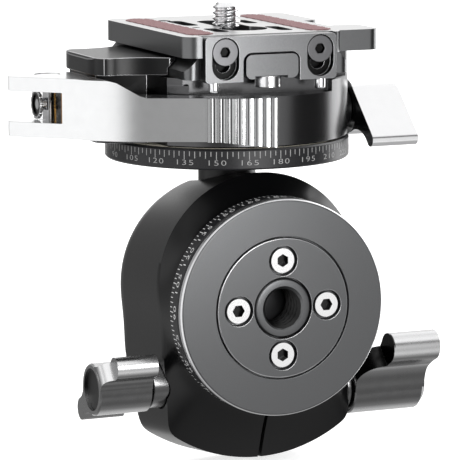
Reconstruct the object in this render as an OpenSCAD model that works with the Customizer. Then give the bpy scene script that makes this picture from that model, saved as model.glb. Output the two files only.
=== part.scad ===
// Low profile ball head, shown folded: the stem lies in the drop notch, so the
// camera platform is up and the mounting face of the base points to the front.
// Frame: +Z up, -Y out of the base mounting face, +X to the right.
// The origin is the centre of the base mounting face.

/* [Base] */
// Diameter of the base disc and of its scale ring
base_d = 48; // [46.5:0.1:48.4]
// Distance from the base mounting face to the ball centre
face_to_ball = 31.8; // [31.6:0.05:32.2]
// Thickness of the base disc at its rim
disc_t = 1.7; // [1.2:0.1:1.9]
// Diameter of the hub plate in the middle of the base
hub_plate_d = 31; // [30:0.1:32]
// Radius of the tripod thread wall, 3/8 inch
tripod_r = 4; // [3.9:0.05:4.1]
// Pitch circle of the four base screws
base_screw_pcd = 20.9; // [20.4:0.1:21.2]

/* [Ball and housing] */
// Ball diameter
ball_d = 36; // [35.4:0.1:36.1]
// Stem diameter
stem_d = 13; // [12:0.1:13.1]
// Width of the drop notch
notch_w = 13.8; // [13.7:0.1:14.6]
// Radius of the housing outline round the ball
house_r = 24; // [23.8:0.1:24.6]
// Half width of the housing at its flat flanks
house_half_w = 22.7; // [22.3:0.1:23]
// Radius of the rounded underside of the housing, from the ball axis
chin_r = 36; // [35:0.1:37]
// Width of the clamping slit under the housing
slit_w = 0.8; // [0.5:0.1:1.2]

/* [Knobs] */
// Hub radius of the large ball lock knob
lock_hub_r = 6.5; // [6:0.1:6.8]
// Length of the large ball lock knob
lock_len = 17.9; // [16:0.1:20]
// Hub radius of the small base pan knob
pan_hub_r = 5.8; // [5.4:0.1:6]
// Hub radius of the clamp pan knob
top_hub_r = 6.4; // [6:0.1:6.6]

/* [Clamp] */
// Radius of the engraved scale disc
scale_r = 27.55; // [27.2:0.05:27.9]
// Radius of the clamp body
clamp_r = 27.2; // [27:0.05:27.3]
// Travel of the sliding jaw
jaw_travel = 2.2; // [1.6:0.1:2.2]
// Outside radius of the lever handle
lever_r = 31.5; // [31.4:0.05:31.9]
// Height of the top of the lever handle
lever_top = 46.4; // [45:0.1:46.5]

/* [Plate] */
// Half width of the dovetail foot
foot_half = 20; // [19.8:0.05:20.05]
// Height of the plate top above the ball centre
plate_top = 59.3; // [58.8:0.1:60]
// Height of the camera screw tip above the ball centre
screw_top = 64.4; // [63:0.1:64.5]
// Upward travel of the anti twist flange
flange_lift = 2.9; // [2.5:0.1:2.9]

/* [Hidden] */
$fn = 96;

ball_r = ball_d / 2;
face_y = -face_to_ball;
base_r = base_d / 2;
hub_r = hub_plate_d / 2;
ring_front = face_y + 2.2;
ring_back = -24.7;
house_front = -24.4;
crease_y = -18.5;
bore_r = 18.1;
lock_y = -13.5;
lock_z = -22.5;
pan_y = -13.5;
pan_z = -18.5;
disc_z0 = 30.07;
disc_z1 = 34.6;
body_z0 = 34.85;
body_z1 = 48.6;
deck_z = 49.9;
body_left = -21.15;
rod_z = 43.5;
piv_x = -42.65;
cam_r0 = 6.85;
cam_open = 90;
cam_k = jaw_travel / cam_open;
wear_x = piv_x + cam_r0 + 0.3;
foot_z = 50;
cap_z = 54.7;
foot_turn = 51.8;
flange_y0 = -26.5;
flange_y1 = -23.1;
top_y = 0;
top_z = 39.4;

// straight round bars along each axis, and turned profiles
module ycyl(r, y0, y1, x = 0, z = 0) translate([x, y0, z]) rotate([-90, 0, 0]) cylinder(r = r, h = y1 - y0);
module xcyl(r, x0, x1, y = 0, z = 0) translate([x0, y, z]) rotate([0, 90, 0]) cylinder(r = r, h = x1 - x0);
module zcyl(r, z0, z1, x = 0, y = 0) translate([x, y, z0]) cylinder(r = r, h = z1 - z0);
module yturn() rotate([-90, 0, 0]) rotate_extrude() children();
module xturn(y, z) translate([0, y, z]) rotate([0, 90, 0]) rotate_extrude() children();
module box(a, b) translate(a) cube(b - a);
// an outline drawn in X and Z, carried along Y
module along_y(y0, y1) translate([0, y1, 0]) rotate([90, 0, 0]) linear_extrude(y1 - y0) children();
// an outline drawn in Y and Z, carried along X
module along_x(x0, x1) translate([x0, 0, 0]) rotate([90, 0, 90]) linear_extrude(x1 - x0) children();
// the whole part is drawn about the ball centre and set on its mounting face
module place() translate([0, face_to_ball, 0]) children();
// a turned ring given by inner and outer radius with broken outer edges
module ring_y(r0, r1, y0, y1, c = 0.3)
  yturn() polygon([[r0, y0], [r1 - c, y0], [r1, y0 + c], [r1, y1 - c], [r1 - c, y1], [r0, y1]]);
module ring_z(r0, r1, z0, z1, c = 0.3)
  rotate_extrude() polygon([[r0, z0], [r1 - c, z0], [r1, z0 + c], [r1, z1 - c], [r1 - c, z1], [r0, z1]]);
module ring_x(r0, r1, x0, x1, y, z, c = 0.3)
  xturn(y, z) polygon([[r0, x0], [r1 - c, x0], [r1, x0 + c], [r1, x1 - c], [r1 - c, x1], [r0, x1]]);
// four places on the base screw circle
module on_base_pcd() for (a = [0, 90, 180, 270]) rotate([0, a, 0]) translate([base_screw_pcd / 2, 0, 0]) children();

// ---------------------------------------------------------------- base
module base_disc() color("#4a4c4c") place() yturn()
  polygon([[hub_r + 0.3, face_y], [base_r - 0.45, face_y], [base_r, face_y + 0.45],
    [base_r, face_y + disc_t], [base_r - 1.1, face_y + disc_t], [base_r - 1.1, ring_front],
    [hub_r + 2.1, ring_front], [hub_r + 2.1, face_y + 1.2], [hub_r + 0.3, face_y + 1.2]]);
module base_hub_plate() color("#4a4c4c") place() difference() {
  yturn() polygon([[6.05, face_y + 1.6], [6.85, face_y + 1.6], [6.85, face_y], [hub_r - 0.15, face_y],
    [hub_r, face_y + 0.15], [hub_r, face_y + 1.25], [hub_r + 2, face_y + 1.25], [hub_r + 2, face_y + 3.4],
    [6.05, face_y + 3.4]]);
  on_base_pcd() ycyl(3.35, face_y - 1, face_y + 2.2);
  on_base_pcd() ycyl(1.6, face_y, face_y + 4);
}
module base_scale_ring() color("#2b2c2d") place() difference() {
  ring_y(13, base_r, ring_front, ring_back, 0.45);
  ycyl(hub_r + 2.1, ring_front - 1, face_y + 3.4);
}
module base_thread_bush() color("#3c3d3e") place() difference() {
  union() { ycyl(6.6, face_y, face_y + 1.6); ycyl(6, face_y + 1.5, face_y + 9.2); }
  ycyl(tripod_r, face_y - 1, face_y + 10);
}
module base_screws() color("#e6e6e6") place() on_base_pcd() difference() {
  union() { ycyl(2.7, face_y + 0.3, face_y + 2.2); ycyl(1.45, face_y + 2, face_y + 8.5); }
  translate([0, face_y, 0]) rotate([-90, 0, 0]) cylinder(r = 1.44, h = 1.6, $fn = 6);
}
module pan_drum() color("#9a9b9c") place() difference() {
  yturn() polygon([[0, face_y + 9.2], [6, face_y + 9.2], [6, face_y + 3.4], [12.95, face_y + 3.4],
    [12.95, -21.1], [17.7, -21.1], [17.7, -11], [15.7, -11], [15.7, -18.6], [0, -18.6]]);
  on_base_pcd() ycyl(1.5, face_y, face_y + 9);
}
module front_thrust_shim() color("#d8c9a0") place() ring_y(13.05, 19, -24.69, -24.45, 0.02);
module rear_thrust_shim() color("#d8c9a0") place() ring_y(13.05, 17.4, -21.35, -21.11, 0.02);

// ------------------------------------------------------------- housing
// outline of the housing at a station y: a circle round the ball over a flat
// sided chin with a rounded foot; the section sinks a little to the rear
function sink(y) = -(y - crease_y) * 0.125;
module outline(y, low, n = 48) {
  s = sink(y);
  r = house_r - 0.45 * (y - crease_y) / 25.6;
  intersection() {
    union() {
      translate([0, 4.2 + s]) circle(r, $fn = n);
      polygon([[-house_half_w, -4 + s], [house_half_w, -4 + s],
        [house_half_w - 1.2, -34 + s], [-house_half_w + 1.2, -34 + s]]);
      translate([0, s]) intersection() {
        circle(chin_r, $fn = 2 * n);
        polygon([[-house_half_w, -4], [house_half_w, -4], [house_half_w - 1.3, -40], [-house_half_w + 1.3, -40]]);
      }
    }
    translate([0, s]) circle(chin_r, $fn = 2 * n);
    translate([-50, low]) square([100, 120]);
  }
}
module slab(y, low) translate([0, y, 0]) rotate([90, 0, 0]) linear_extrude(0.01) outline(y, low);
module housing() color("#1d1d1f") place() difference() {
  union() {
    hull() { slab(crease_y, -60); slab(-4.2, -60); slab(0.5, -27.4); slab(6.2, -12.4); slab(7.1, -1.5); }
    hull() { slab(crease_y + 0.01, -60); ycyl(house_r - 0.6, house_front, house_front + 0.4, $fn = 64); }
  }
  ycyl(bore_r, -21.4, -4);
  ycyl(20.1, house_front - 1, -21.39);
  intersection() { sphere(bore_r); box([-30, -4.01, -30], [30, 30, 30]); }
  translate([0, 6, 0]) rotate([-90, 0, 0]) cylinder(r1 = 16.9, r2 = 18.6, h = 1.7);
  box([-notch_w / 2, 0, 4], [notch_w / 2, 30, 60]);
  zcyl(notch_w / 2, 4, 60);
  box([-slit_w / 2, -40, -60], [slit_w / 2, 40, -10]);
  xcyl(3.1, -9, 40, lock_y, lock_z);
  xcyl(4.05, -7.6, 0, lock_y, lock_z);
  xcyl(4.6, 19, 40, lock_y, lock_z);
  xcyl(5.6, 21.4, 40, lock_y, lock_z);
  xcyl(2.55, -15, 0, pan_y, pan_z);
  xcyl(3.1, -40, -14.9, pan_y, pan_z);
  xcyl(5.6, -40, -21.2, pan_y, pan_z);
}
module pan_bearing_ring() color("#8d8e90") place() difference() {
  ring_y(13, 20.05, house_front, -21.42, 0.05);
  for (x = [-16.5, 16.5]) ycyl(1, house_front - 1, house_front + 1.5, x);
}
module ball_seat() color("#e8e4da") place() yturn()
  polygon([[14.9, -10.7], [18.05, -10.7], [18.05, -7.2], [16.63, -7.2]]);
module lock_collar() color("#d9d9da") place() ring_x(3.1, 5.5, 21.4, 22.8, lock_y, lock_z, 0.3);
module base_pan_collar() color("#cfcfd0") place() ring_x(3.1, 5.2, -25.3, -21.2, pan_y, pan_z, 0.25);
module lock_nut() color("#c9b26a") place() difference() {
  xcyl(4, -7.5, -1, lock_y, lock_z);
  xcyl(3.05, -8, 0, lock_y, lock_z);
}

// --------------------------------------------------------------- knobs
// wing section: a hub circle and a bead circle joined by flanks that curve in
function flank_s(r1, r2, d, q) = (d * d + (r1 + q) * (r1 + q) - (r2 + q) * (r2 + q)) / (2 * d);
function flank_t(r1, r2, d, q) = sqrt((r1 + q) * (r1 + q) - pow(flank_s(r1, r2, d, q), 2));
module wing_section(r1, r2, d, q) {
  s = flank_s(r1, r2, d, q);
  t = flank_t(r1, r2, d, q);
  translate([d, 0]) circle(r2);
  difference() {
    polygon([[0, 0], [s, t], [d, 0], [s, -t]]);
    for (m = [-1, 1]) translate([s, m * t]) circle(q);
  }
}
// wing with one flat flank, on the side of the second section axis below zero
module flat_wing_section(r1, r2, d, q) {
  s = flank_s(r1, r2, d, q);
  t = flank_t(r1, r2, d, q);
  b = asin((r1 - r2) / d);
  translate([d, 0]) circle(r2);
  difference() {
    polygon([[0, 0], [s, t], [d, 0]]);
    translate([s, t]) circle(q);
  }
  polygon([[0, 0], [d, 0], [d + r2 * sin(b), -r2 * cos(b)], [r1 * sin(b), -r1 * cos(b)]]);
}
// a wing at an angle round the knob axis, limited along X by a side outline
module wing(y, z, ang, x0, x1) translate([0, y, z]) rotate([ang, 0, 0]) intersection() {
  along_x(x0, x1) children(0);
  translate([0, 0, -20]) linear_extrude(40) children(1);
}
module hub_bar(r, x0, x1, y, z, c0, c1) xturn(y, z)
  polygon([[0, x0], [r - c0, x0], [r, x0 + c0], [r, x1 - c1], [r - c1, x1], [0, x1]]);

lock_x0 = 23;
lock_x1 = lock_x0 + lock_len;
module lock_knob() color("#a9abae") place() difference() {
  union() {
    hub_bar(lock_hub_r, lock_x0, lock_x1, lock_y, lock_z, 0.3, 1.2);
    wing(lock_y, lock_z, 135.6, lock_x0, lock_x1) {
      wing_section(lock_hub_r, 3.4, 14.1, 9);
      union() {
        polygon([[29.3, 0], [lock_x1 - 0.5, 0], [lock_x1 - 0.9, 9], [lock_x1 - 0.15, 13], [lock_x1 - 0.15, 20], [29.3, 20]]);
        intersection() { translate([29.4, 3.9]) circle(7); box2([lock_x0, 0], [29.5, 20]); }
        box2([lock_x0 + 0.2, 0], [29.5, 4]);
      }
    }
  }
  xcyl(3.05, 20, 36.5, lock_y, lock_z);
  xcyl(4.6, 39.6, 50, lock_y, lock_z);
}
module box2(a, b) translate(a) square(b - a);
module lock_knob_cap() color("#5b5d60") place() xcyl(4.5, 39.7, 40.4, lock_y, lock_z);
module lock_screw() color("#c8c8c8") place() hub_bar(3, -7.2, 36.4, lock_y, lock_z, 0.5, 0.5);

module base_pan_knob() color("#a9abae") place() difference() {
  union() {
    hub_bar(pan_hub_r, -38, -25.6, pan_y, pan_z, 0.35, 0.3);
    wing(pan_y, pan_z, 140.4, -38, -25.6) {
      wing_section(pan_hub_r, 2.5, 8.95, 3);
      union() {
        box2([-35.2, 0], [-25.75, 14]);
        intersection() { translate([-35.2, 5]) circle(2.8); box2([-38, 0], [-35.1, 14]); }
        box2([-37.8, 0], [-35.1, 5]);
      }
    }
    wing(pan_y, pan_z, -39.1, -38, -25.6) {
      wing_section(pan_hub_r, 2.5, 8.95, 3);
      union() {
        box2([-37.9, 0], [-28.4, 14]);
        intersection() { translate([-28.5, 5]) circle(2.8); box2([-28.5, 0], [-25.7, 14]); }
        box2([-28.5, 0], [-25.8, 5]);
      }
    }
  }
  xcyl(4.7, -40, -36.6, pan_y, pan_z);
  xcyl(3.05, -33, -20, pan_y, pan_z);
}
module base_pan_knob_cap() color("#3f4143") place() xcyl(4.65, -37.2, -36.6, pan_y, pan_z);
module base_pan_screw() color("#c8c8c8") place() hub_bar(3, -32.9, -15.2, pan_y, pan_z, 0.5, 0.5);
module base_brake_plug() color("#d8c9a0") place() difference() {
  xcyl(2.5, -14.5, -4, pan_y, pan_z);
  ycyl(17.75, -30, 0);
  box([-8.2, -30, -40], [0, 0, 0]);
}

// -------------------------------------------------------- ball and stem
module ball_stem() color("#4b4d50") place() difference() {
  union() { sphere(ball_r); zcyl(stem_d / 2, 10, 31.2); }
  zcyl(3.05, 19, 40);
}
module scale_disc() color("#3a3b3d") place() difference() {
  ring_z(0, scale_r, disc_z0, disc_z1, 0.35);
  zcyl(stem_d / 2 + 0.02, disc_z0 - 1, 31.22);
  zcyl(3.05, 20, 50);
}
module pan_spigot() color("#8f9194") place() difference() {
  zcyl(9.95, disc_z1, 42);
  zcyl(3.05, 20, 50);
}
module spigot_washer() color("#c4c4c6") place() difference() { zcyl(12.3, 42.03, 43.2); zcyl(3.05, 20, 50); }
module spigot_screw() color("#b9b9bb") place() difference() {
  union() { zcyl(3, 20, 43.3); zcyl(5, 43.2, 46); }
  translate([0, 0, 44]) cylinder(r = 2.9, h = 5, $fn = 6);
}
module glide_ring() color("#e9e4d2") place() ring_z(20, 26, disc_z1, 34.82, 0.02);

// ---------------------------------------------------------------- clamp
module clamp_body() color("#2d2e30") place() difference() {
  union() {
    intersection() {
      ring_z(0, clamp_r, body_z0, body_z1, 0.3);
      box([body_left, -40, 0], [40, 40, 100]);
    }
    intersection() {
      union() {
        box([body_left, -19.8, body_z1 - 1], [16.2, 19.8, deck_z]);
        along_y(-15.5, 15.5) polygon([[15, body_z1 - 1], [23.5, body_z1 - 1], [23.5, 53.6], [23.1, 54],
          [foot_half - 1.85, 54], [foot_half + 0.25, 51.9], [foot_half + 0.25, deck_z], [15, deck_z]]);
      }
      zcyl(clamp_r - 0.05, 0, 100);
    }
  }
  zcyl(10, 30, 41.9);
  zcyl(12.8, 41.89, 60);
  for (m = [-1, 1]) box([-17.5, min(m * 19.8, m * 40), 45.9], [16, max(m * 19.8, m * 40), 60]);
  xcyl(1.3, -40, -13.5, 0, rod_z);
  for (y = [-9, 9]) xcyl(1.5, -40, -15, y, rod_z);
  for (y = [-5, 5]) xcyl(1.9, -40, -18, y, rod_z);
  xcyl(2.45, 8, 15.5, top_y, top_z);
  xcyl(2.6, 15.4, 40, top_y, top_z);
  xcyl(4.6, 26.2, 40, top_y, top_z);
}
module tie_rod() color("#cfcfd1") place() {
  hub_bar(1.25, -43.3, -13.6, 0, rod_z, 0.2, 0.3);
  xcyl(0.95, -45.15, -43.2, 0, rod_z);
}
module lever_barrel() color("#d6d6d8") place() difference() {
  union() { zcyl(1.95, 37, 49.5, piv_x, 0); zcyl(2.75, 49.4, 49.9, piv_x, 0); }
  xcyl(1.3, piv_x - 5, piv_x + 5, 0, rod_z);
  box([piv_x - 5, -3, rod_z - 3.3], [piv_x - 0.55, 3, rod_z + 3.3]);
}
module guide_pins() color("#c9c9cb") place() for (y = [-9, 9]) hub_bar(1.45, -32.5, -15.1, y, rod_z, 0.3, 0.3);
module jaw_springs() color("#b9bbbe") place() for (y = [-5, 5]) difference() {
  xcyl(1.8, -23.7, -18.2, y, rod_z);
  xcyl(1.1, -25, -17, y, rod_z);
  for (i = [0 : 4]) translate([-23.1 + i * 1.05, y, rod_z]) rotate([0, 90, 0]) difference() { cylinder(r = 3, h = 0.45); cylinder(r = 1.45, h = 1, center = true); }
}
module clamp_pan_collar() color("#3c3d3f") place() ring_x(2.6, 4.55, 26.3, 29.1, top_y, top_z, 0.2);

top_x0 = 29.3;
top_x1 = 40.7;
module clamp_pan_knob() color("#c2c4c7") place() difference() {
  union() {
    hub_bar(top_hub_r, top_x0, top_x1, top_y, top_z, 0.2, 0.5);
    wing(top_y, top_z, 203.8, top_x0, top_x1) {
      flat_wing_section(top_hub_r, 1.6, 14.87, 7);
      polygon([[top_x0, -20], [top_x1 - 0.1, -20], [top_x1 - 0.1, 20], [top_x0, 20]]);
    }
  }
  xcyl(2.55, 20, 36.5, top_y, top_z);
  xcyl(4.2, 39.5, 50, top_y, top_z);
}
module clamp_pan_knob_cap() color("#5b5d60") place() xcyl(4.15, 39.55, 40.2, top_y, top_z);
module clamp_pan_screw() color("#c8c8c8") place() hub_bar(2.5, 15.6, 36.4, top_y, top_z, 0.4, 0.4);
module clamp_brake_plug() color("#d8c9a0") place() difference() {
  xcyl(2.4, 8, 15, top_y, top_z);
  zcyl(10.02, 30, 50);
}

// ---------------------------------------------------------------- lever
// cam radius round the pivot; it falls evenly so that turn and travel match
function cam(a) = cam_r0 - cam_k * a;
function polar(r, a) = [piv_x + r * cos(a), r * sin(a)];
function arm(r, a) = [-r * sin(a), -r * cos(a)];
// outer side: a straight fork, a short facet, a bend and a straight run to the thumb end
function bend(s) = [-12.3 - 38 * sin(s), 11.43 - 38 * cos(s)];
lever_plan = concat(
  [[-51.5, -1.9], [-52, -1.2], [-51.6, 0.9], [-50.6, 2.6], [-49, 3.9], [-47, 4.5], [-44.8, 4.6]],
  [for (a = [90 : -6 : 0]) polar(cam(a), a)],
  [[-35.95, -3], [-36.3, -8.75]],
  [for (a = [35 : -2.5 : 5]) arm(lever_r - 3.5, a)],
  [arm(lever_r - 3.4, 3.6), arm(lever_r + 1.6, 3.2)],
  [for (a = [4 : 1.5 : 28]) arm(lever_r + 2.3, a)],
  [arm(lever_r + 2.3, 29.6), [-16.3, -28.45]],
  [for (s = [24.5 : 3 : 45.5]) bend(s)],
  [[-40.6, -12.3]]);
module lever() color("#d3d5d8") place() difference() {
  intersection() {
    translate([0, 0, 35]) linear_extrude(20) polygon(lever_plan);
    along_y(-40, 20) polygon([[-60, 36.9], [-14, 36.9], [-1.8, 35.5], [10, 35.5], [10, lever_top], [-28.2, lever_top],
      [-29.6, lever_top + 0.45], [-34, 49.6], [-35.6, 50], [-60, 50]]);
  }
  box([-60, -6.4, 40.15], [-38.8, 20, 46.85]);
  box([-60, -2.9, 40.15], [-30, 20, 46.85]);
  box([-60, -20, 40.15], [-43, 0, 46.85]);
  zcyl(2, 30, 60, piv_x, 0);
  zcyl(2.85, 49.3, 60, piv_x, 0);
  for (i = [0 : 7]) translate(concat(arm(lever_r + 2.75, 5.6 + i * 3.1), 30)) cylinder(r = 0.8, h = 30);
}

// -------------------------------------------------------------- the jaw
jaw_edge = [[-35.4, 5.5], [-35.2, 8.2], [-34.6, 10.2], [-33.6, 11.5], [-32.4, 11.9], [-31.2, 11.7], [-29.5, 11.6],
  [-27.5, 11.9], [-25.5, 12.4], [-23.5, 13.2], [-21.5, 14.4], [-19.9, 15.5], [-17.9, 15.5]];
module jaw_outline() polygon(concat(jaw_edge, [for (i = [len(jaw_edge) - 1 : -1 : 0]) [jaw_edge[i][0], -jaw_edge[i][1]]]));
module sliding_jaw() color("#26272a") place() difference() {
  union() {
    intersection() {
      translate([0, 0, 50.25]) linear_extrude(3.85) jaw_outline();
      along_y(-20, 20) polygon([[-36, 50], [-foot_half - 0.25, 50], [-foot_half - 0.25, 51.9], [-foot_half + 1.95, 54.1],
        [-34.9, 54.1], [-36, 53]]);
    }
    translate([0, 0, 35.3]) linear_extrude(15.2)
      polygon([[wear_x + 1, -8.3], [-32.6, -10], [-24, -12.4], [-24, 12.4], [-32.6, 10], [wear_x + 1, 8.3]]);
  }
  xcyl(1.8, -40, -20, 0, rod_z);
  for (y = [-9, 9]) xcyl(1.5, -33, -20, y, rod_z);
}
module jaw_wear_pad() color("#c9903c") place() difference() {
  box([wear_x, -8.1, 38.5], [wear_x + 1, 8.1, 48.5]);
  xcyl(1.8, -40, -20, 0, rod_z);
}
module adjust_wheel() color("#e0e0e2") place() difference() {
  union() {
    xcyl(3.25, -45.45, -44.8, 0, rod_z);
    hub_bar(1.5, -45.15, -43.35, 0, rod_z, 0, 0);
  }
  xcyl(2.2, -46, -45.14, 0, rod_z);
  xcyl(1, -47.2, -40, 0, rod_z);
  for (a = [0 : 30 : 330]) translate([-50, 3.5 * cos(a), rod_z + 3.5 * sin(a)]) rotate([0, 90, 0]) cylinder(r = 0.5, h = 10);
}

// ---------------------------------------------------------------- plate
module round_slot(x, y, w, l) {
  translate([x, y - (l - w) / 2]) circle(w / 2);
  translate([x, y + (l - w) / 2]) circle(w / 2);
  box2([x - w / 2, y - (l - w) / 2], [x + w / 2, y + (l - w) / 2]);
}
module rounded(a, b, r) {
  box2([a[0] + r, a[1]], [b[0] - r, b[1]]);
  box2([a[0], a[1] + r], [b[0], b[1] - r]);
  for (x = [a[0] + r, b[0] - r]) for (y = [a[1] + r, b[1] - r]) translate([x, y]) circle(r);
}
module cap_plan() difference() {
  union() {
    rounded([-20, -25.4], [17.5, 25.2], 3.4);
    rounded([10, -22.6], [27.4, -10.5], 2.6);
    rounded([10, 2.6], [24.2, 25.2], 3);
    box2([5, -20], [20.2, 20]);
  }
  box2([-16.15, -30], [15.3, flange_y1]);
}
module foot_plan() rounded([-foot_half, -23], [foot_half, 23.5], 2.4);
module quick_plate() color("#8b8d90") place() difference() {
  union() {
    translate([0, 0, cap_z]) linear_extrude(plate_top - cap_z) cap_plan();
    intersection() {
      translate([0, 0, foot_z]) linear_extrude(cap_z - foot_z + 1) foot_plan();
      along_y(-40, 40) polygon([[-foot_half, foot_z], [foot_half, foot_z], [foot_half, foot_turn],
        [foot_half - cap_z + foot_turn, cap_z], [foot_half - cap_z + foot_turn, cap_z + 1],
        [-foot_half + cap_z - foot_turn, cap_z + 1], [-foot_half + cap_z - foot_turn, cap_z], [-foot_half, foot_turn]]);
    }
    intersection() {
      translate([0, 0, foot_z]) linear_extrude(cap_z - foot_z + 1) rounded([-20, -25.4], [-16.15, -18], 1.9);
      along_y(-40, -18) polygon([[-foot_half, foot_z], [-16.15, foot_z], [-16.15, cap_z + 1],
        [-foot_half + cap_z - foot_turn, cap_z + 1], [-foot_half + cap_z - foot_turn, cap_z], [-foot_half, foot_turn]]);
    }
    along_y(-26.5, -21.4) difference() {
      rounded([-6.4, 49.8], [5.9, 57], 1.4);
      box2([-10, 55.1], [10, 60]);
    }
  }
  difference() {
    box([-16.15, -30, cap_z - 3], [15.3, flange_y1, 70]);
    along_y(-26.5, -21.4) rounded([-6.4, 49.8], [5.9, 55.1], 1.4);
  }
  box([-4.4, -27, 49], [3.4, -20.8, 50.4]);
  translate([0, 0, plate_top - 0.8]) linear_extrude(2) {
    round_slot(-14, 0, 6.4, 42.4);
    round_slot(14.2, 0, 5.9, 42.4);
  }
  translate([0, 0, 56]) linear_extrude(10) {
    round_slot(-7.6, 7.5, 3.5, 13);
    round_slot(7.1, 6, 3, 9.5);
    round_slot(-7.3, -11.5, 3.2, 9.5);
    round_slot(7.4, -12.3, 3.3, 10.5);
  }
  translate([0, 0, 40]) linear_extrude(30) round_slot(0, 0, 6.7, 24);
  translate([0, 0, 40]) linear_extrude(15.2) round_slot(0, 0, 15, 34);
  translate([0, -9.6, plate_top - 1.4]) cylinder(r = 5.4, h = 3);
  for (x = [-11.2, 11.2]) ycyl(1.5, -30, -16, x, 55.85);
  zcyl(1.6, 40, 54, -0.3, -24.1);
  zcyl(1.3, 40, 56, 0, 22.9);
  zcyl(1.5, 57.8, 70, -9, 15.3);
  zcyl(0.9, 58, 70, -8.8, -3.6);
}
module grip_strips() color("#9c6266") place() translate([0, 0, plate_top - 0.8]) linear_extrude(1.05) {
  round_slot(-14, 0, 6.3, 42.3);
  round_slot(14.2, 0, 5.8, 42.3);
}
module flange_screws() color("#b4b5b7") place() for (x = [-11.2, 11.2]) difference() {
  union() { ycyl(3, -26.3, -24.9, x, 55.85); ycyl(1.45, -25, -16.5, x, 55.85); }
  translate([x, -27, 55.85]) rotate([-90, 0, 0]) cylinder(r = 1.15, h = 1.7, $fn = 6);
}
module stop_screws() color("#d4d4d6") place() {
  difference() {
    union() { zcyl(2.85, 47.8, 50.35, -0.3, -24.1); zcyl(1.55, 50, 53.9, -0.3, -24.1); }
    translate([-0.3, -24.1, 46.5]) cylinder(r = 1.4, h = 2.8, $fn = 6);
  }
  union() { zcyl(1.6, 47.3, 50, 0, 22.9); zcyl(1.25, 49.9, 55.9, 0, 22.9); }
}
module flange() color("#9b9c9e") place() difference() {
  along_y(flange_y0, flange_y1 - 0.05) difference() {
    rounded([-15.9, 49.25], [15, 59.2], 0.9);
    rounded([-7.05, 46], [6.3, 55.55], 2);
  }
  for (x = [-11.2, 11.2]) {
    along_y(-30, -24.7) slot_z(x, 3.15);
    along_y(-30, -20) slot_z(x, 1.65);
  }
  for (x = [-13.25, 11.8]) zcyl(1.23, 40, 49.75, x, -24.75);
}
module slot_z(x, r) {
  translate([x, 55.85]) circle(r);
  translate([x, 55.85 - flange_lift]) circle(r);
  box2([x - r, 55.85 - flange_lift], [x + r, 55.85]);
}
module flange_pins() color("#d6d6d8") place() for (x = [-13.25, 11.8])
  translate([x, -24.75, 0]) rotate_extrude() polygon([[0, 47], [0.95, 47], [1.2, 47.25], [1.2, 49.7], [0, 49.7]]);
module screw_washer() color("#a8a9ab") place() difference() {
  translate([0, 0, 54.1]) linear_extrude(1) circle(6.6);
  zcyl(3.25, 40, 60);
}
module camera_screw() color("#dededf") place() difference() {
  rotate_extrude() polygon([[0, 51.2], [6, 51.2], [6.4, 51.6], [6.4, 54.05], [2.65, 54.05],
    [2.65, plate_top - 0.3], [3.175, plate_top + 0.1], [3.175, screw_top - 0.75], [2.3, screw_top], [0, screw_top]]);
  box([-7, -0.75, 50], [7, 0.75, 52.6]);
}

base_disc();
base_hub_plate();
base_scale_ring();
base_thread_bush();
base_screws();
pan_drum();
front_thrust_shim();
rear_thrust_shim();
housing();
pan_bearing_ring();
ball_seat();
lock_collar();
base_pan_collar();
lock_nut();
lock_knob();
lock_knob_cap();
lock_screw();
base_pan_knob();
base_pan_knob_cap();
base_pan_screw();
base_brake_plug();
ball_stem();
scale_disc();
pan_spigot();
spigot_washer();
spigot_screw();
glide_ring();
clamp_body();
tie_rod();
lever_barrel();
guide_pins();
jaw_springs();
clamp_pan_collar();
clamp_pan_knob();
clamp_pan_knob_cap();
clamp_pan_screw();
clamp_brake_plug();
lever();
sliding_jaw();
jaw_wear_pad();
adjust_wheel();
quick_plate();
grip_strips();
flange_screws();
stop_screws();
flange();
flange_pins();
screw_washer();
camera_screw();
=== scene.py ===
import math
import bpy
import bmesh
from mathutils import Matrix, Vector


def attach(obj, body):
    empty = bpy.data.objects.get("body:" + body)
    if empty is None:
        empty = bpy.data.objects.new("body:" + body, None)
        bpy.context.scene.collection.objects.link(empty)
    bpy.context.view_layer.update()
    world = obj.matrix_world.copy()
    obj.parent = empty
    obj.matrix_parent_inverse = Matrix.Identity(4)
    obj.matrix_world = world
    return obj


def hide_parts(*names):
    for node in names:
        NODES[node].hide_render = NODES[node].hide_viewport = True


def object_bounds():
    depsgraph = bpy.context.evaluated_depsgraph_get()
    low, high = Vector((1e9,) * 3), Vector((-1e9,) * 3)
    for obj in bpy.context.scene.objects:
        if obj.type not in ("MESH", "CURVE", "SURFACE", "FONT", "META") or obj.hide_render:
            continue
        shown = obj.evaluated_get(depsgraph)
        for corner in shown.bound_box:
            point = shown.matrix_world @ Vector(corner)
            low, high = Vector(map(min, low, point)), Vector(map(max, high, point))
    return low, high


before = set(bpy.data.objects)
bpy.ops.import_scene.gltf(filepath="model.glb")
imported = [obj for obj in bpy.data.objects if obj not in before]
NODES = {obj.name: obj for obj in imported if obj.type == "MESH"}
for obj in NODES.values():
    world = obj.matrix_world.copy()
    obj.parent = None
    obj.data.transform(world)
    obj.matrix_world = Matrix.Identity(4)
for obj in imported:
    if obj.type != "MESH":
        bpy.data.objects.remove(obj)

CAD_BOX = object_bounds()
SC = bpy.context.scene
MM = 0.001
FY = 31.8                                   # the ball centre lies this far behind the mounting face, mm


def P(x, y, z):
    """A point given in millimetres about the ball centre, in the row frame."""
    return Vector((x * MM, (y + FY) * MM, z * MM))


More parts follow.
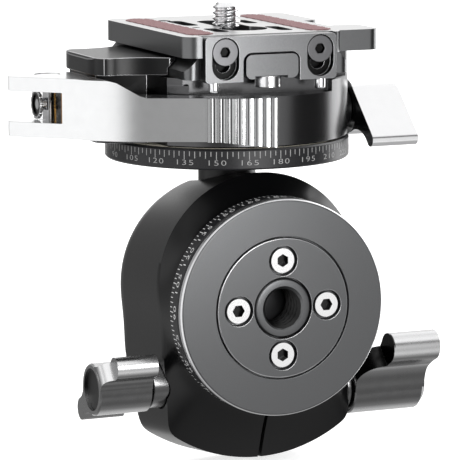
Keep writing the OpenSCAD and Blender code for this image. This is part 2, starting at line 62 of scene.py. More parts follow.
# ------------------------------------------------------------------ camera
def make_camera():
    az, el, roll = math.radians(-22.73), math.radians(8.91), math.radians(-0.14)
    back = Vector((math.sin(az) * math.cos(el), -math.cos(az) * math.cos(el), math.sin(el)))
    r0 = Vector((math.cos(az), math.sin(az), 0))
    u0 = back.cross(r0)
    right = r0 * math.cos(roll) + u0 * math.sin(roll)
    up = -r0 * math.sin(roll) + u0 * math.cos(roll)
    dist, f_px = 698.7, 4.3968 * 698.7
    loc = (right * 0.66 + up * 12.523 + back * dist)
    cam = bpy.data.objects.new("photo_camera", bpy.data.cameras.new("photo_camera"))
    SC.collection.objects.link(cam)
    cam.data.sensor_width = 36.0
    cam.data.sensor_fit = "HORIZONTAL"
    cam.data.lens = 36.0 * f_px / 460.0
    cam.data.clip_start, cam.data.clip_end = 0.05, 20
    m = Matrix((right, up, back)).transposed().to_4x4()
    m.translation = P(*loc)
    cam.matrix_world = m
    SC.camera = cam
    return right, up, back


RIGHT, UP, BACK = make_camera()


# --------------------------------------------------------------- materials
class Mat:
    """A small helper that builds node materials on the Principled shader."""

    def __init__(self, name, color, metallic=0.0, rough=0.4, **sockets):
        self.m = bpy.data.materials.new(name)
        self.m.use_nodes = True
        self.nt = self.m.node_tree
        self.b = self.nt.nodes["Principled BSDF"]
        self.b.inputs["Base Color"].default_value = (*color, 1)
        self.b.inputs["Metallic"].default_value = metallic
        self.b.inputs["Roughness"].default_value = rough
        for k, v in sockets.items():
            self.b.inputs[k].default_value = v
        self.coord = self.nt.nodes.new("ShaderNodeTexCoord")

    def node(self, kind, **vals):
        n = self.nt.nodes.new(kind)
        for k, v in vals.items():
            if k in n.inputs.keys():
                n.inputs[k].default_value = v
            else:
                setattr(n, k, v)
        return n

    def link(self, a, b):
        self.nt.links.new(a, b)

    def noise(self, scale, detail=2.0, rough=0.5, stretch=None):
        n = self.node("ShaderNodeTexNoise", Scale=scale, Detail=detail, Roughness=rough)
        if stretch:
            mp = self.node("ShaderNodeMapping")
            mp.inputs["Scale"].default_value = stretch
            self.link(self.coord.outputs["Object"], mp.inputs["Vector"])
            self.link(mp.outputs[0], n.inputs["Vector"])
        else:
            self.link(self.coord.outputs["Object"], n.inputs["Vector"])
        return n.outputs["Fac"]

    def remap(self, fac, lo, hi, a=0.3, b=0.7):
        n = self.node("ShaderNodeMapRange")
        n.inputs["From Min"].default_value = a
        n.inputs["From Max"].default_value = b
        n.inputs["To Min"].default_value = lo
        n.inputs["To Max"].default_value = hi
        self.link(fac, n.inputs["Value"])
        return n.outputs["Result"]

    def mix(self, fac, c0, c1):
        n = self.node("ShaderNodeMix", data_type="RGBA")
        self.link(fac, n.inputs["Factor"])
        for i, c in ((6, c0), (7, c1)):
            if hasattr(c, "links"):
                self.link(c, n.inputs[i])
            else:
                n.inputs[i].default_value = (*c, 1)
        return n.outputs[2]

    def inside(self, lo, hi):
        """1 inside a box given in millimetres about the ball centre, 0 outside."""
        sep = self.node("ShaderNodeSeparateXYZ")
        self.link(self.coord.outputs["Object"], sep.inputs[0])
        a, b = P(*lo), P(*hi)
        out = None
        for i in range(3):
            for end, sgn in ((a[i], 1), (b[i], -1)):
                m = self.remap(sep.outputs[i], 0, 1, end - sgn * 0.00004, end + sgn * 0.00004)
                out = m if out is None else self.math("MINIMUM", out, m)
        return out

    def math(self, op, a, b):
        n = self.node("ShaderNodeMath", operation=op)
        for i, v in enumerate((a, b)):
            if hasattr(v, "links"):
                self.link(v, n.inputs[i])
            else:
                n.inputs[i].default_value = v
        return n.outputs[0]

    def ramp(self, fac, stops):
        n = self.node("ShaderNodeValToRGB")
        el = n.color_ramp.elements
        while len(el) < len(stops):
            el.new(0.5)
        for e, (pos, c) in zip(el, stops):
            e.position = pos
            e.color = (c, c, c * 1.008, 1)
        self.link(fac, n.inputs["Fac"])
        return n.outputs["Color"]

    def bump(self, height, strength, distance):
        n = self.node("ShaderNodeBump", Strength=strength, Distance=distance)
        self.link(height, n.inputs["Height"])
        self.link(n.outputs[0], self.b.inputs["Normal"])
        return n


def anodised(name, c, rough, grain=5200, grain_s=0.08, var=0.08, metallic=0.85):
    """Bead blasted and anodised aluminium: fine grain, slight tone and gloss variation."""
    k = Mat(name, c, metallic, rough)
    n1 = k.noise(grain, 3, 0.6)
    n2 = k.noise(2100, 3, 0.5)
    lo = tuple(x * (1 - var) for x in c)
    hi = tuple(min(1, x * (1 + var)) for x in c)
    k.link(k.mix(k.remap(n1, 0, 1), lo, hi), k.b.inputs["Base Color"])
    k.link(k.remap(n2, rough * 0.94, rough * 1.06), k.b.inputs["Roughness"])
    k.bump(n1, grain_s, 0.00006)
    if metallic == 0.0:
        k.b.inputs["Specular IOR Level"].default_value = 0.3
    return k.m


def turned(name, c, rough, stretch=(1, 1, 1), scale=700, s=0.03, metallic=1.0):
    """Machined metal with a faint satin cloud in tone and gloss."""
    k = Mat(name, c, metallic, rough)
    n1 = k.noise(scale, 2, 0.5, stretch)
    n2 = k.noise(300, 2, 0.5)
    k.link(k.mix(k.remap(n1, 0, 1), tuple(x * 0.985 for x in c), tuple(min(1, x * 1.015) for x in c)), k.b.inputs["Base Color"])
    k.link(k.remap(n2, rough * 0.96, rough * 1.04), k.b.inputs["Roughness"])
    k.bump(n1, s, 0.000004)
    return k.m


M = {
    "face_grey": anodised("base_face_anodised", (0.135, 0.137, 0.14), 0.36, metallic=0.95, grain_s=0.2, var=0.12),
    # painted shade for the inside of the threaded bore
    "thread_dark": turned("thread_bore_painted_shade", (0.03, 0.03, 0.03), 0.32),
    "clamp_black": anodised("clamp_anodised", (0.09, 0.09, 0.092), 0.22, metallic=0.95, grain_s=0.03),
    "stem_black": anodised("stem_anodised", (0.004, 0.004, 0.004), 0.4, metallic=0.3, grain_s=0.03),
    "black": anodised("black_anodised", (0.004, 0.004, 0.0044), 0.3, metallic=0.0, grain_s=0.03),
    "scale_black": anodised("scale_anodised", (0.02, 0.02, 0.022), 0.34, metallic=0.0, grain_s=0.2, var=0.3),
    "plate_grey": anodised("plate_anodised", (0.15, 0.152, 0.155), 0.3, metallic=0.95, var=0.1, grain_s=0.1),
    # painted highlight: the next two colours go on the bevel faces of the dark anodised parts, lighter than the parts,
    # to stand for the glint on their edges
    "bright_edge": turned("edge_painted_highlight", (0.5, 0.5, 0.51), 0.25),
    "dark_edge": turned("clamp_edge_painted_highlight", (0.16, 0.16, 0.165), 0.25),
    # painted shade: the next two colours go on the bevel faces of the silver top knob and the lever, darker than the
    # parts, drawn as a dark line along their edges
    "silver_edge": turned("silver_edge_painted_shade", (0.14, 0.14, 0.142), 0.25),
    "lever_edge": turned("lever_edge_painted_shade", (0.05, 0.05, 0.051), 0.25),
    "silver": turned("satin_knob_silver", (0.6, 0.605, 0.61), 0.27),
    "lever": turned("lever_silver", (0.82, 0.825, 0.83), 0.2),
    "steel": turned("bright_steel", (0.82, 0.82, 0.83), 0.16),
    "dark_steel": turned("dark_steel", (0.05, 0.05, 0.052), 0.3),
    "bare": turned("machined_aluminium", (0.68, 0.68, 0.69), 0.3),
    "brass": turned("machined_brass", (0.76, 0.42, 0.12), 0.28),
    "polymer": anodised("polymer", (0.78, 0.74, 0.62), 0.5, metallic=0.0),
    "cap": anodised("cap_grey", (0.012, 0.012, 0.0125), 0.45, metallic=0.0),
    "rose": anodised("rose_rubber", (0.30, 0.17, 0.175), 0.6, metallic=0.0),
    "white": anodised("engraved_white", (0.42, 0.42, 0.42), 0.5, metallic=0.0),
    "white_base": anodised("engraved_white_base", (0.8, 0.8, 0.8), 0.5, metallic=0.0),
}


def face_with_rim():
    """The mounting disc: grained grey face, with a painted highlight on its rim chamfer."""
    k = Mat("base_disc_anodised", (0.135, 0.137, 0.14), 0.95, 0.36)
    sep = k.node("ShaderNodeSeparateXYZ")
    k.link(k.coord.outputs["Object"], sep.inputs[0])

    def sq(o):
        n = k.node("ShaderNodeMath", operation="MULTIPLY")
        k.link(o, n.inputs[0])
        k.link(o, n.inputs[1])
        return n.outputs[0]

    add = k.node("ShaderNodeMath", operation="ADD")
    k.link(sq(sep.outputs[0]), add.inputs[0])
    k.link(sq(sep.outputs[2]), add.inputs[1])
    root = k.node("ShaderNodeMath", operation="SQRT")
    k.link(add.outputs[0], root.inputs[0])
    # painted highlight: a thin light ring at the outer edge of the face
    rim = k.remap(root.outputs[0], 0, 1, 0.02368, 0.02374)
    n1 = k.noise(5200, 3, 0.6)
    n2 = k.noise(2100, 3, 0.5)
    grey = k.mix(k.remap(n1, 0, 1), (0.118, 0.12, 0.122), (0.152, 0.154, 0.158))
    k.link(k.mix(rim, grey, (0.75, 0.75, 0.76)), k.b.inputs["Base Color"])
    k.link(k.remap(n2, 0.34, 0.38), k.b.inputs["Roughness"])
    k.bump(n1, 0.2, 0.00006)
    return k.m


def deep_dark(name, c, rough, axis, a, b, dark):
    """Bright metal with painted shade inside its sockets, below a given depth."""
    k = Mat(name, c, 1.0, rough)
    sep = k.node("ShaderNodeSeparateXYZ")
    k.link(k.coord.outputs["Object"], sep.inputs[0])
    f = k.remap(sep.outputs[axis], 0, 1, a, b)
    n1 = k.noise(4200, 3, 0.6)
    top = k.mix(k.remap(n1, 0, 1), tuple(x * 0.97 for x in c), tuple(min(1, x * 1.02) for x in c))
    # painted shade: beyond the given depth the colour turns to the dark one
    k.link(k.mix(f, top, dark), k.b.inputs["Base Color"])
    k.link(k.remap(n1, rough * 0.95, rough * 1.05), k.b.inputs["Roughness"])
    return k.m


def dark_in(name, c, rough, boxes, dark=0.008, metallic=0.95, var=0.1, grain_s=0.1, top=None):
    """Anodised metal with painted shade in its slots and pockets, given as boxes; if top is given, faces that look up
    take that colour as a painted highlight.
    """
    k = Mat(name, c, metallic, rough)
    n1 = k.noise(5200, 3, 0.6)
    col = k.mix(k.remap(n1, 0, 1), tuple(x * (1 - var) for x in c), tuple(min(1, x * (1 + var)) for x in c))
    # painted highlight: faces whose normal points up take the lighter top colour
    if top:
        nz = k.node("ShaderNodeSeparateXYZ")
        k.link(k.coord.outputs["Normal"], nz.inputs[0])
        col = k.mix(k.remap(nz.outputs[2], 0, 1, 0.8, 0.95), col, (top, top, top))
    # painted shade inside the boxes
    for lo, hi in boxes:
        col = k.mix(k.inside(lo, hi), col, (dark, dark, dark))
    k.link(col, k.b.inputs["Base Color"])
    k.link(k.remap(k.noise(2100, 3, 0.5), rough * 0.94, rough * 1.06), k.b.inputs["Roughness"])
    if grain_s:
        k.bump(n1, grain_s, 0.00006)
    return k.m


def knob_metal(name, stops, rough, axis=None, dark_x=None, hub=0.0067, wing=None, bead=None, bead_r=None, ends=0.13):
    """Satin turned knob with painted light: tone follows how far a surface faces up or down, a painted highlight and
    painted shade by facing; the end faces and the inner end that faces the housing get painted shade."""
    k = Mat(name, (0.5, 0.5, 0.5), 1.0, rough)
    nz = k.node("ShaderNodeSeparateXYZ")
    k.link(k.coord.outputs["Normal"], nz.inputs[0])
    # painted light: colour by how far the face looks up or down
    col = k.ramp(k.remap(nz.outputs[2], 0, 1, -1.0, 1.0), [((z + 1) / 2, c) for z, c in stops])
    sep = k.node("ShaderNodeSeparateXYZ")
    k.link(k.coord.outputs["Object"], sep.inputs[0])
    if axis:
        c0 = P(0, *axis)
        dy = k.math("SUBTRACT", sep.outputs[1], c0.y)
        dz = k.math("SUBTRACT", sep.outputs[2], c0.z)
        r = k.math("SQRT", k.math("ADD", k.math("MULTIPLY", dy, dy), k.math("MULTIPLY", dz, dz)), 0.0)
    if bead:
        # painted light on the bead, by facing
        col2 = k.ramp(k.remap(nz.outputs[2], 0, 1, -1.0, 1.0), [((z + 1) / 2, c) for z, c in bead])
        col = k.mix(k.remap(r, 0, 1, bead_r, bead_r + 0.0002), col, col2)
    # painted shade on the end faces
    end = k.remap(k.math("ABSOLUTE", nz.outputs[0], 0.0), 0, 1, 0.8, 0.95)
    col = k.mix(end, col, (ends, ends, ends * 1.01))
    # painted shade at the inner end that faces the housing
    if dark_x:
        m = k.math("MINIMUM", k.remap(r, 0, 1, hub, hub + 0.0003), k.remap(sep.outputs[0], 1, 0, dark_x * MM, dark_x * MM + 0.0002))
        t = math.radians(wing)
        flank = k.math("ADD", k.math("MULTIPLY", nz.outputs[1], math.sin(t)), k.math("MULTIPLY", nz.outputs[2], -math.cos(t)))
        m = k.math("MINIMUM", m, k.remap(k.math("ABSOLUTE", flank, 0.0), 1, 0, 0.45, 0.6))
        col = k.mix(m, col, (0.012, 0.012, 0.012))
    n = k.noise(500, 2)
    k.link(k.mix(k.remap(n, 0.0, 0.04), col, (0.4, 0.4, 0.4)), k.b.inputs["Base Color"])
    k.link(k.remap(k.noise(300, 2), rough * 0.96, rough * 1.04), k.b.inputs["Roughness"])
    return k.m


def lever_metal(name, c, rough):
    """Bright satin lever with painted shade: dark lines in the thumb grooves, a dark fork pocket and a dark strip in
    the fork slot, beside a brass coloured strip.
    """
    k = Mat(name, c, 1.0, rough)
    sep = k.node("ShaderNodeSeparateXYZ")
    k.link(k.coord.outputs["Object"], sep.inputs[0])
    y = k.math("SUBTRACT", sep.outputs[1], FY * MM)
    x = sep.outputs[0]
    r = k.math("SQRT", k.math("ADD", k.math("MULTIPLY", x, x), k.math("MULTIPLY", y, y)), 0.0)
    a = k.math("ARCTAN2", k.math("MULTIPLY", x, -1.0), k.math("MULTIPLY", y, -1.0))
    turn = k.math("DIVIDE", k.math("SUBTRACT", a, math.radians(5.6)), math.radians(3.1))
    d = k.math("ABSOLUTE", k.math("SUBTRACT", k.math("FRACT", k.math("ADD", turn, 0.5), 0.0), 0.5), 0.0)
    # painted shade in the thumb grooves
    groove = k.remap(d, 1, 0, 0.06, 0.34)
    zone = k.math("MINIMUM", k.remap(r, 0, 1, 0.0329, 0.0331),
                  k.math("MINIMUM", k.remap(turn, 0, 1, -0.5, -0.45), k.remap(turn, 1, 0, 7.45, 7.5)))
    n = k.noise(500, 2)
    col = k.mix(k.remap(n, 0, 1), tuple(v * 0.985 for v in c), tuple(min(1, v * 1.015) for v in c))
    col = k.mix(k.math("MULTIPLY", groove, zone), col, (0.06, 0.06, 0.062))
    # painted shade in the fork pocket, and painted shadow beside the barrel
    col = k.mix(k.inside((-39.0, -6.6, 40.0), (-30, -2.7, 47.0)), col, (0.015, 0.014, 0.012))
    col = k.mix(k.inside((-43.1, -9.6, 40.0), (-42.9, -6.2, 47.0)), col, (0.02, 0.016, 0.012))
    col = k.mix(k.inside((-43.1, -10.3, 40.2), (-42.9, -9.6, 46.8)), col, (0.35, 0.18, 0.06))
    k.link(col, k.b.inputs["Base Color"])
    k.link(k.remap(k.noise(300, 2), rough * 0.96, rough * 1.04), k.b.inputs["Roughness"])
    return k.m


# painted light: colour stops by the up or down part of the face normal, for the knob body and for its bead
KNOB_LIGHT_BY_FACING = [(-1.0, 0.95), (-0.82, 0.9), (-0.64, 0.3), (-0.45, 0.16), (-0.1, 0.08), (0.08, 0.1), (0.3, 0.55), (0.5, 0.9), (0.8, 0.6), (1.0, 0.5)]
BEAD_LIGHT_BY_FACING = [(-1.0, 0.4), (-0.6, 0.25), (-0.35, 0.7), (0.0, 0.5), (0.25, 0.6), (0.5, 0.9), (0.8, 0.62), (1.0, 0.5)]
M["face_rim"] = face_with_rim()
M["lock_knob"] = knob_metal("lock_knob_silver", KNOB_LIGHT_BY_FACING, 0.27, axis=(-13.5, -22.5), dark_x=29.5, wing=135.6, bead=BEAD_LIGHT_BY_FACING, bead_r=0.0107)
M["pan_knob"] = knob_metal("pan_knob_silver", KNOB_LIGHT_BY_FACING, 0.27, axis=(-13.5, -18.5), bead=BEAD_LIGHT_BY_FACING, bead_r=0.0066, ends=0.28)
# the top knob has one even colour, with painted shade on its end faces
M["top_knob"] = knob_metal("top_knob_silver", [(-1.0, 0.82), (0.0, 0.82), (1.0, 0.82)], 0.2, ends=0.2)
M["collar"] = knob_metal("collar_silver", KNOB_LIGHT_BY_FACING, 0.27)
# painted shade: a darker colour on the bevelled edges of the two silver side knobs
M["knob_edge"] = turned("knob_edge_painted_shade", (0.22, 0.22, 0.225), 0.25)
M["lever_arm"] = lever_metal("lever_satin", (0.82, 0.825, 0.83), 0.2)


def wheel_metal():
    """Bright thumb wheel with painted shade in the recess round its rod."""
    k = Mat("wheel_steel", (0.82, 0.82, 0.83), 1.0, 0.2)
    sep = k.node("ShaderNodeSeparateXYZ")
    k.link(k.coord.outputs["Object"], sep.inputs[0])
    c0 = P(0, 0, 43.5)
    dy = k.math("SUBTRACT", sep.outputs[1], c0.y)
    dz = k.math("SUBTRACT", sep.outputs[2], c0.z)
    r = k.math("SQRT", k.math("ADD", k.math("MULTIPLY", dy, dy), k.math("MULTIPLY", dz, dz)), 0.0)
    # painted shade: a ring round the rod, at the wheel's outer end
    m = k.math("MINIMUM", k.remap(r, 0, 1, 0.0011, 0.0012), k.remap(r, 1, 0, 0.0026, 0.0028))
    m = k.math("MINIMUM", m, k.remap(sep.outputs[0], 1, 0, -0.04475, -0.0447))
    n = k.noise(600, 2)
    col = k.mix(k.remap(n, 0, 1), (0.8, 0.8, 0.81), (0.84, 0.84, 0.85))
    k.link(k.mix(m, col, (0.03, 0.03, 0.03)), k.b.inputs["Base Color"])
    return k.m


M["wheel"] = wheel_metal()


def rose_rubber():
    """Rose rubber with painted shade in the valleys of its waffle."""
    k = Mat("rose_waffle", (0.33, 0.19, 0.2), 0.0, 0.6)
    sep = k.node("ShaderNodeSeparateXYZ")
    k.link(k.coord.outputs["Object"], sep.inputs[0])
    # painted shade: below the rib tops the colour turns dark
    h = k.remap(sep.outputs[2], 0, 1, 0.05925, 0.05952)
    n = k.noise(1500, 2)
    light = k.mix(k.remap(n, 0, 1), (0.40, 0.235, 0.24), (0.46, 0.28, 0.285))
    k.link(k.mix(h, (0.1, 0.04, 0.045), light), k.b.inputs["Base Color"])
    k.b.inputs["Specular IOR Level"].default_value = 0.3
    return k.m


M["rose_top"] = rose_rubber()
# painted shade: boxes round the flange slots, and on the plate the recess wall seen through them
SLOT_SHADE_BOXES = [((x - 3.3, -26.1, 49.0), (x + 3.3, -23.0, 59.1)) for x in (-11.2, 11.2)]
M["flange_grey"] = dark_in("flange_anodised", (0.18, 0.182, 0.186), 0.3, SLOT_SHADE_BOXES)
# painted highlight on the plate's upward faces; the box paints shade on its recess wall
M["plate_body"] = dark_in("plate_body_anodised", (0.15, 0.152, 0.155), 0.3, [((-15.5, -23.4, 50), (15, -22.6, 59))], top=0.56)
# painted shade in the hex sockets of the base screws and in the slots of the flange screws
M["socket_steel"] = deep_dark("socket_screw_steel", (0.9, 0.9, 0.9), 0.22, 1, 0.0005, 0.0007, (0.03, 0.03, 0.03))
M["flange_screw"] = deep_dark("flange_screw_steel", (0.13, 0.13, 0.135), 0.3, 1, 0.0057, 0.0059, (0.01, 0.01, 0.01))
NODE_MAT = {
    "base_disc": "face_rim", "base_hub_plate": "face_grey", "base_scale_ring": "scale_black",
    "base_thread_bush": "face_grey", "base_screws": "socket_steel", "pan_drum": "dark_steel",
    "front_thrust_shim": "polymer", "rear_thrust_shim": "polymer",
    "housing": "black", "pan_bearing_ring": "bare", "ball_seat": "polymer",
    "lock_collar": "collar", "base_pan_collar": "collar", "lock_nut": "brass",
    "lock_knob": "lock_knob", "lock_knob_cap": "cap", "lock_screw": "steel",
    "base_pan_knob": "pan_knob", "base_pan_knob_cap": "cap", "base_pan_screw": "steel", "base_brake_plug": "polymer",
    "ball_stem": "stem_black", "scale_disc": "scale_black", "pan_spigot": "bare", "spigot_washer": "steel",
    "spigot_screw": "steel", "glide_ring": "polymer",
    "clamp_body": "clamp_black", "tie_rod": "steel", "lever_barrel": "steel", "guide_pins": "steel",
    "jaw_springs": "steel", "clamp_pan_collar": "black",
    "clamp_pan_knob": "top_knob", "clamp_pan_knob_cap": "cap", "clamp_pan_screw": "steel", "clamp_brake_plug": "polymer",
    "lever": "lever_arm", "sliding_jaw": "black", "jaw_wear_pad": "brass", "adjust_wheel": "wheel",
    "quick_plate": "plate_body", "grip_strips": "rose", "flange_screws": "flange_screw", "stop_screws": "steel",
    "flange": "flange_grey", "flange_pins": "steel", "screw_washer": "steel", "camera_screw": "steel",
}
for name, key in NODE_MAT.items():
    o = NODES[name]
    o.data.materials.clear()
    o.data.materials.append(M[key])

# ------------------------------------------------------- edges and shading
def soften(name, width, edge=None, segments=2, angle=32):
    """Broken edges and clean shading on a carried-over piece, as modifiers only."""
    o = NODES[name]
    me = o.data
    if "custom_normal" in me.attributes:
        me.attributes.remove(me.attributes["custom_normal"])
    if "sharp_edge" in me.attributes:
        me.attributes.remove(me.attributes["sharp_edge"])
    me.polygons.foreach_set("use_smooth", [True] * len(me.polygons))
    wd = o.modifiers.new("weld", "WELD")
    wd.merge_threshold = 2e-6
    dc = o.modifiers.new("flat_faces", "DECIMATE")
    dc.decimate_type = "DISSOLVE"
    dc.angle_limit = math.radians(0.6)
    if width:
        bv = o.modifiers.new("broken_edges", "BEVEL")
        bv.width = width * MM
        bv.segments = segments
        bv.limit_method = "ANGLE"
        bv.angle_limit = math.radians(angle)
        bv.use_clamp_overlap = True
        bv.miter_outer = "MITER_ARC"
        bv.loop_slide = True
        # the bevel faces take the edge colour: a painted highlight on dark parts, painted shade on silver parts
        if edge:
            o.data.materials.append(M[edge])
            bv.material = 1
    wn = o.modifiers.new("normals", "WEIGHTED_NORMAL")
    wn.mode = "FACE_AREA"
    wn.weight = 50
    wn.keep_sharp = True


SOFT = {
    "base_disc": 0.14, "base_hub_plate": 0.12,
    "lock_knob": 0.3, "base_pan_knob": 0.25, "clamp_pan_knob": 0.3, "lock_collar": 0.1, "base_pan_collar": 0.1,
    "clamp_body": 0.25, "lever": 0.24, "sliding_jaw": 0.3, "quick_plate": 0.28, "flange": 0.22,
    "flange_screws": 0.18, "stop_screws": 0.2, "flange_pins": 0.15, "lever_barrel": 0.12,
}
# edge colours for the bevels: painted highlights on the dark parts, painted shade lines on the silver knobs and the
# lever
EDGE = {"sliding_jaw": "bright_edge", "quick_plate": "bright_edge", "flange": "bright_edge", "clamp_body": "dark_edge",
        "base_hub_plate": "bright_edge", "lever": "lever_edge", "clamp_pan_knob": "silver_edge",
        "lock_knob": "knob_edge", "base_pan_knob": "knob_edge"}
for name, width in SOFT.items():
    soften(name, width, EDGE.get(name))

# ------------------------------------------------------- pieces made here
def make_object(name, verts, faces, mats, index=None, sharp=30):
    me = bpy.data.meshes.new(name)
    me.from_pydata([tuple(v) for v in verts], [], faces)
    for m in mats:
        me.materials.append(M[m])
    if index:
        me.polygons.foreach_set("material_index", index)
    me.polygons.foreach_set("use_smooth", [True] * len(me.polygons))
    bm = bmesh.new()
    bm.from_mesh(me)
    bmesh.ops.remove_doubles(bm, verts=bm.verts, dist=1e-6)
    bmesh.ops.recalc_face_normals(bm, faces=bm.faces)
    bm.to_mesh(me)
    bm.free()
    me.set_sharp_from_angle(angle=math.radians(sharp))
    o = bpy.data.objects.new(name, me)
    SC.collection.objects.link(o)
    return o


def lathe(profile, to_point, angles, closed=True, pick=None):
    """Turned faces. profile is a list of (radius, along); angles are in degrees."""
    n, m = len(profile), len(angles)
    verts = [to_point(r, h, a) for r, h in profile for a in angles]
    faces, index = [], []
    for i in range(n if closed else n - 1):
        i2 = (i + 1) % n
        for j in range(m):
            j2 = (j + 1) % m
            faces.append((i * m + j, i * m + j2, i2 * m + j2, i2 * m + j))
            index.append(pick(i, j) if pick else 0)
    return verts, faces, index


def digits(text, height):
    """Outline of a short number as a thin solid: points (u, v, w) in mm, and faces."""
    cu = bpy.data.curves.new("n" + text, "FONT")
    cu.body = text
    cu.size = 1.0
    cu.extrude = 0.02
    cu.resolution_u = 3
    cu.align_x = "CENTER"
    cu.space_character = 1.2
    cu.offset = -0.012
    ob = bpy.data.objects.new("n" + text, cu)
    SC.collection.objects.link(ob)
    dg = bpy.context.evaluated_depsgraph_get()
    me = bpy.data.meshes.new_from_object(ob.evaluated_get(dg))
    pts = [v.co.copy() for v in me.vertices]
    fcs = [tuple(q.vertices) for q in me.polygons]
    bpy.data.objects.remove(ob)
    bpy.data.curves.remove(cu)
    bpy.data.meshes.remove(me)
    low = min(q.y for q in pts)
    k = height / (max(q.y for q in pts) - low)
    wide = 1.6
    return [(q.x * k * wide, (q.y - low) * k, q.z) for q in pts], fcs


def add_mesh(verts, faces, index, more_v, more_f, mat):
    b = len(verts)
    verts += more_v
    faces += [tuple(b + i for i in f) for f in more_f]
    index += [mat] * len(more_f)


def tick_angles(step, width):
    out = []
    for i in range(int(round(360 / step))):
        out += [i * step - width / 2, i * step + width / 2]
    return out


def make_scale_disc():
    """Panning scale under the clamp: a tick each 2.5 degrees, a number each 15."""
    r = 27.52
    prof = [(6.52, 30.07), (27.2, 30.07), (r, 30.42), (r, 32.35), (r, 32.6), (r, 33.05), (r, 34.12), (r, 34.25),
            (27.2, 34.6), (3.05, 34.6), (3.05, 31.22), (6.52, 31.22)]
    off = 177.34

    def pick(i, j):
        if j % 2 or i not in (3, 4, 5):
            return 0
        k = j // 2
        reach = 3 if k % 6 == 0 else 4 if k % 2 == 0 else 5
        return 1 if i >= reach else 0

    def to(rr, z, a):
        t = math.radians(a - off)
        return P(rr * math.sin(t), -rr * math.cos(t), z)

    v, f, ix = lathe(prof, to, tick_angles(2.5, 0.34), pick=pick)
    for lab in range(0, 360, 15):
        pts, fcs = digits(str(lab), 1.12)
        add_mesh(v, f, ix, [to(r + w, 31.12 + b, lab + math.degrees(u / r)) for u, b, w in pts], fcs, 1)
    o = make_object("scale_disc_marked", v, f, ["scale_black", "white"], ix)
    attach(o, "ball")
    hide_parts("scale_disc")


def make_base_scale():
    """Panning scale behind the mounting face."""
    prof = [(17.6, -29.6), (23.6, -29.6), (23.97, -29.2), (23.97, -27.1), (23.97, -26.75), (23.97, -26.4),
            (23.97, -25.35), (23.97, -25.15), (23.55, -24.7), (13, -24.7), (13, -28.4), (17.6, -28.4)]

    def pick(i, j):
        if j % 2 or i not in (3, 4, 5):
            return 0
        k = j // 2
        reach = 3 if k % 6 == 0 else 4 if k % 2 == 0 else 5
        return 1 if i >= reach else 0

    def to(rr, y, a):
        t = math.radians(a)
        return P(-rr * math.sin(t), y, -rr * math.cos(t))

    v, f, ix = lathe(prof, to, tick_angles(2.5, 0.42), pick=pick)
    for lab in range(0, 360, 15):
        pts, fcs = digits(str(lab), 1.25)
        add_mesh(v, f, ix, [to(23.97 + w, -28.55 + b, lab + math.degrees(u / 23.97)) for u, b, w in pts], fcs, 1)
    o = make_object("base_scale_marked", v, f, ["scale_black", "white_base"], ix)
    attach(o, "base")
    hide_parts("base_scale_ring")


def thread_form(q, crest, root):
    """Radius over one pitch, q from 0 to 1: flanks with small flats."""
    q = q % 1.0
    if q < 0.16:
        return crest
    if q < 0.5:
        return crest + (root - crest) * (q - 0.16) / 0.34
    if q < 0.66:
        return root
    return root + (crest - root) * (q - 0.66) / 0.34


def make_bush():
    """Bush with the 3/8 inch, 16 threads to the inch, tripod thread."""
    y0, y1, pitch, n = -31.8, -22.6, 1.5875, 96
    rows = int((y1 - y0) / 0.1)
    v, f, ix = [], [], []
    for i in range(rows + 1):
        y = y0 + (y1 - y0) * i / rows
        for j in range(n):
            a = 2 * math.pi * j / n
            r = thread_form((y - y0) / pitch - j / n, 4.0, 4.76)
            r = max(r, 4.86 - (y - y0) * 0.9, 4.86 - (y1 - y) * 0.9)
            v.append(P(r * math.cos(a), y, r * math.sin(a)))
    for i in range(rows):
        for j in range(n):
            j2 = (j + 1) % n
            f.append((i * n + j, i * n + j2, (i + 1) * n + j2, (i + 1) * n + j))
            # painted shade: deeper than 0.7 mm into the bore the faces take the dark thread colour
            ix.append(1 if i > 6 else 0)
    outer = [(4.86, y0), (5.95, y0), (6.2, y0 + 0.06), (6.58, y0 + 0.5), (6.6, y0 + 1.6), (6.0, y0 + 1.6), (6.0, y1 - 0.3), (5.7, y1), (4.86, y1)]
    b = len(v)
    for r, y in outer:
        for j in range(n):
            a = 2 * math.pi * j / n
            v.append(P(r * math.cos(a), y, r * math.sin(a)))
    for i in range(len(outer) - 1):
        for j in range(n):
            j2 = (j + 1) % n
            f.append((b + i * n + j, b + i * n + j2, b + (i + 1) * n + j2, b + (i + 1) * n + j))
            ix.append(0)
    o = make_object("thread_bush", v, f, ["face_grey", "thread_dark"], ix, 24)
    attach(o, "base")
    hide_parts("base_thread_bush")


